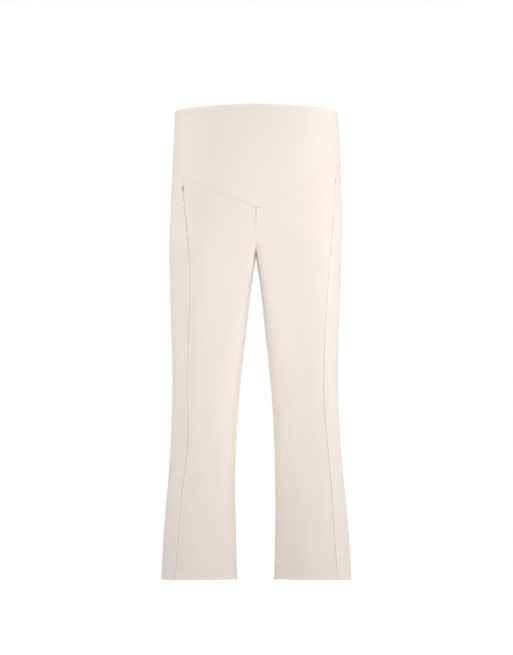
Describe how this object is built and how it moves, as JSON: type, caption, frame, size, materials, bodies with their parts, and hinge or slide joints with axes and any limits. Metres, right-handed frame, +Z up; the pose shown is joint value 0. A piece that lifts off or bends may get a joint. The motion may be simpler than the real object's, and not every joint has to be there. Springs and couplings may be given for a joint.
{
  "type": "maternity trousers",
  "caption": "Kick-flare maternity trousers in plain cream jersey, hollow as worn, with a high over-bump panel, V-shaped yoke seam, front-set side seams and in-seam pockets.",
  "frame": {"origin": "middle of the waist opening, level with its sides, where the wearer holds the garment up", "axes": "+Z up the body, the front faces -Y, the wearer's left is +X"},
  "size_m": [0.4071, 0.2671, 1.0146],
  "materials": {
    "jersey": "smooth matt cream double jersey with a faint sheen",
    "pocket_jersey": "plain matt cream jersey"
  },
  "bodies": {
    "root": {"bump_panel_front": "jersey", "bump_panel_back": "jersey", "front_leg_right": "jersey", "front_leg_left": "jersey", "back_leg_right": "jersey", "back_leg_left": "jersey", "pocket_bag_right": "pocket_jersey", "pocket_bag_left": "pocket_jersey"}
  },
  "joints": []
}
